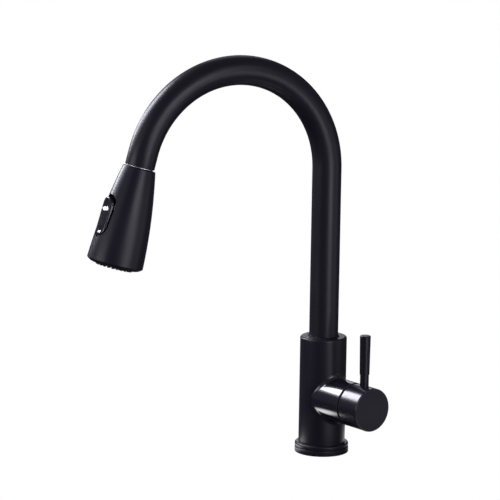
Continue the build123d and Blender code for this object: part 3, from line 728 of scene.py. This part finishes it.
def rocker_height(across, along):
    """Height of the rocker's top above its own plane: a cylinder crown with two scooped thumb
    hollows. Each has a flat ramp on its lower side and a round floor on its upper side."""
    height = sqrt(ROCKER_CROWN_R ** 2 - across ** 2) - ROCKER_CROWN_R + ROCKER_PROUD
    for scoop in (UPPER_SCOOP, LOWER_SCOOP):
        ramp = ROCKER_PROUD + SCOOP_SLOPE * (along - scoop["end"]) + SCOOP_LEAN * across
        floor = ROCKER_PROUD - scoop["depth"]
        floor += (along - scoop["low"]) ** 2 / (2 * scoop["bend"])
        floor += (across - SCOOP_ASIDE) ** 2 / (2 * scoop["width"])
        hollow = -soft_least(-ramp, -floor, SCOOP_BLEND)
        height = soft_least(height, hollow, SCOOP_BLEND)
    return height


def rocker_outline(inset):
    """Points round the rocker's stadium outline, set in by a distance."""
    radius = ROCKER_WIDTH / 2 - inset
    half = (ROCKER_LENGTH - ROCKER_WIDTH) / 2
    points = []
    for end in (1, -1):
        for k in range(ROCKER_ARC + 1):
            turn = pi * k / ROCKER_ARC
            points.append((end * radius * cos(turn), end * (half + radius * sin(turn))))
        for k in range(1, ROCKER_SIDE):
            points.append((-end * radius, end * half * (1 - 2 * k / ROCKER_SIDE)))
    return points


def rocker_frame():
    """Axes and origin of the rocker at rest: across, along and out of the head."""
    turn = Matrix.Rotation(ROCKER_TILT, 3, -SPOUT_SIDE)
    out, along = turn @ HEAD_FRONT, turn @ HEAD_ALONG
    across = along.cross(out)
    pivot = Vector(JOINTS["spray_mode_rocker"]["pos_m"])
    return across, along, out, pivot + ROCKER_PIVOT_IN * out


def rocker_button():
    """Rocker's cap with a rounded rim and two thumb hollows. Its skin stops just short of the middle
    line, above and below."""
    across, along, out, origin = rocker_frame()
    half = ROCKER_WIDTH / 2
    rim_rows = int(ROCKER_EDGE_R / half * ROCKER_ROWS)
    levels = [(half * k / ROCKER_ROWS, 0.0) for k in range(ROCKER_ROWS - 1, rim_rows, -1)]
    for step in range(1, ROCKER_EDGE_STEPS + 1):
        turn = 0.5 * pi * step / ROCKER_EDGE_STEPS
        levels.append((ROCKER_EDGE_R * (1 - sin(turn)), ROCKER_EDGE_R * (1 - cos(turn))))
    rings = []
    for inset, drop in levels:
        ring = [(x, z, rocker_height(x, z + ROCKER_SHIFT) - drop) for x, z in rocker_outline(inset)]
        rings.append(ring)
    for inset in (0.0, ROCKER_UNDER * half):
        rings.append([(x, z, -ROCKER_THICK) for x, z in rocker_outline(inset)])
    placed = []
    for ring in rings:
        placed.append([origin + x * across + (z + ROCKER_SHIFT) * along + h * out for x, z, h in ring])
    points, faces = skin(placed)
    button = new_piece(
        "rocker_cap", points, faces, "black_plastic", "spray_rocker", finish="polished_plastic")
    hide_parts("rocker_button")


# ---- trim ring of the barrel --------------------------------------------------------------------


def domed_trim_ring():
    """Trim ring whose domed lip, round about the handle's pivot, fills the slit behind the cap. Its finish, darker
    and duller than the other black plastic, is painted shade for that slit.
    """
    pivot = Vector(JOINTS["handle_flow"]["pos_m"])
    low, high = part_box("barrel_trim_ring")
    back, front = low.x, high.x
    sleeve_r = (high.y - low.y) / 2
    face = BARREL_FACE_X + MERGE
    outline = [(NECK_BORE_R, back), (sleeve_r, back), (sleeve_r, face)]
    for step in range(DOME_STEPS + 1):
        x = face + (DOME_END_X - BARREL_FACE_X) * step / DOME_STEPS
        outline.append((sqrt(DOME_R ** 2 - (x - pivot.x) ** 2), x))
    outline += [(LIP_BORE_R, DOME_END_X), (LIP_BORE_R, front), (NECK_BORE_R, front)]
    rings = [circle(Vector((x, 0, pivot.z)), Y_AXIS, UP, r, TRIM_SIDES) for r, x in outline]
    points, faces = skin(rings, closed=True)
    # the dull, darker finish is painted shade for the slit behind the cap
    ring = new_piece("domed_trim_ring", points, faces, "black_plastic", "body", finish="dull_plastic")
    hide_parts("barrel_trim_ring")


# ---- camera, light and floor --------------------------------------------------------------------


def direction(azimuth, elevation):
    """Unit vector towards an azimuth from +X and an elevation above the horizon."""
    a, e = radians(azimuth), radians(elevation)
    return Vector((cos(a) * cos(e), sin(a) * cos(e), sin(e)))


def make_camera():
    """Camera with a long lens, which looks at the middle of the tap."""
    data = bpy.data.cameras.new("camera")
    data.lens = LENS
    data.sensor_width = SENSOR
    camera = bpy.data.objects.new("camera", data)
    bpy.context.scene.collection.objects.link(camera)
    back = direction(VIEW_AZIMUTH, VIEW_ELEVATION)
    roll = Quaternion((0, 0, 1), radians(VIEW_ROLL))
    camera.rotation_mode = "QUATERNION"
    camera.location = VIEW_TARGET + back * VIEW_DISTANCE
    camera.rotation_quaternion = (-back).to_track_quat("-Z", "Y") @ roll
    bpy.context.scene.camera = camera


def soft_box(name, azimuth, elevation, width, height, brightness):
    """Rectangular area light that faces the middle of the tap; brightness is its own radiance."""
    data = bpy.data.lights.new(name, "AREA")
    data.shape = "RECTANGLE"
    data.size = width
    data.size_y = height
    data.energy = brightness * pi * width * height
    data.color = LIGHT_COLOUR
    lamp = bpy.data.objects.new(name, data)
    towards = direction(azimuth, elevation)
    lamp.location = LIGHT_MIDDLE + LIGHT_DISTANCE * towards
    lamp.visible_camera = False
    lamp.rotation_mode = "QUATERNION"
    lamp.rotation_quaternion = towards.to_track_quat("Z", "Y")
    bpy.context.scene.collection.objects.link(lamp)


def make_lights():
    """All the soft boxes, which stand round the tap."""
    for values in SOFT_BOXES:
        soft_box(*values)


def make_world():
    """White to the camera, dim to the reflections, and dimmer behind the tap than in front of it."""
    world = bpy.data.worlds.new("white_studio")
    bpy.context.scene.world = world
    world.use_nodes = True
    tree = world.node_tree
    tree.nodes.clear()
    place = tree.nodes.new("ShaderNodeTexCoord").outputs["Generated"]
    facing = far_along(tree, place, direction(ROOM_AZIMUTH, ROOM_ELEVATION))
    seen = tree.nodes.new("ShaderNodeBackground")
    around = tree.nodes.new("ShaderNodeBackground")
    feed(tree, seen.inputs["Strength"], 1.0)
    feed(tree, around.inputs["Strength"], remap(tree, facing, ROOM_BACK, ROOM_FRONT, ROOM_FADE))
    for background in (seen, around):
        background.inputs["Color"].default_value = (1, 1, 1, 1)
    path = tree.nodes.new("ShaderNodeLightPath")
    mix = tree.nodes.new("ShaderNodeMixShader")
    out = tree.nodes.new("ShaderNodeOutputWorld")
    tree.links.new(path.outputs["Is Camera Ray"], mix.inputs["Fac"])
    tree.links.new(around.outputs[0], mix.inputs[1])
    tree.links.new(seen.outputs[0], mix.inputs[2])
    tree.links.new(mix.outputs[0], out.inputs["Surface"])


def floor_material():
    """White to the camera; to the reflections it is dim, with soft pools of light on it."""
    material = bpy.data.materials.new("pale_floor")
    material.use_nodes = True
    tree = material.node_tree
    tree.nodes.clear()
    place = object_place(tree)
    glow = FLOOR_GLOW
    for x, y, radius, brightness in FLOOR_POOLS:
        far = tree.nodes.new("ShaderNodeVectorMath")
        far.operation = "DISTANCE"
        far.inputs[1].default_value = (x, y, 0)
        tree.links.new(place, far.inputs[0])
        pool = remap(tree, far.outputs["Value"], brightness, 0.0, (POOL_CORE * radius, radius))
        glow = math_node(tree, "ADD", pool, glow)
    path = tree.nodes.new("ShaderNodeLightPath")
    mix = tree.nodes.new("ShaderNodeMix")
    mix.inputs["B"].default_value = 1.0
    tree.links.new(path.outputs["Is Camera Ray"], mix.inputs["Factor"])
    tree.links.new(glow, mix.inputs["A"])
    emission = tree.nodes.new("ShaderNodeEmission")
    tree.links.new(mix.outputs["Result"], emission.inputs["Strength"])
    out = tree.nodes.new("ShaderNodeOutputMaterial")
    tree.links.new(emission.outputs[0], out.inputs["Surface"])
    return material


def make_floor():
    """Round pale floor under the tap, in the plane of the worktop."""
    mesh = bpy.data.meshes.new("floor")
    rim = circle(Vector((0, 0, 0)), X_AXIS, Y_AXIS, FLOOR_R, FLOOR_SIDES)
    mesh.from_pydata([tuple(point) for point in rim], [], [list(range(FLOOR_SIDES))])
    mesh.materials.append(floor_material())
    floor = bpy.data.objects.new("floor", mesh)
    bpy.context.scene.collection.objects.link(floor)


dress_frame()
spout_tube_skin()
threaded_shank()
hose_tail_braid()
hose_pull_braid()
rocker_button()
domed_trim_ring()
make_camera()
make_lights()
make_world()
make_floor()
bpy.context.scene.view_settings.view_transform = "Standard"
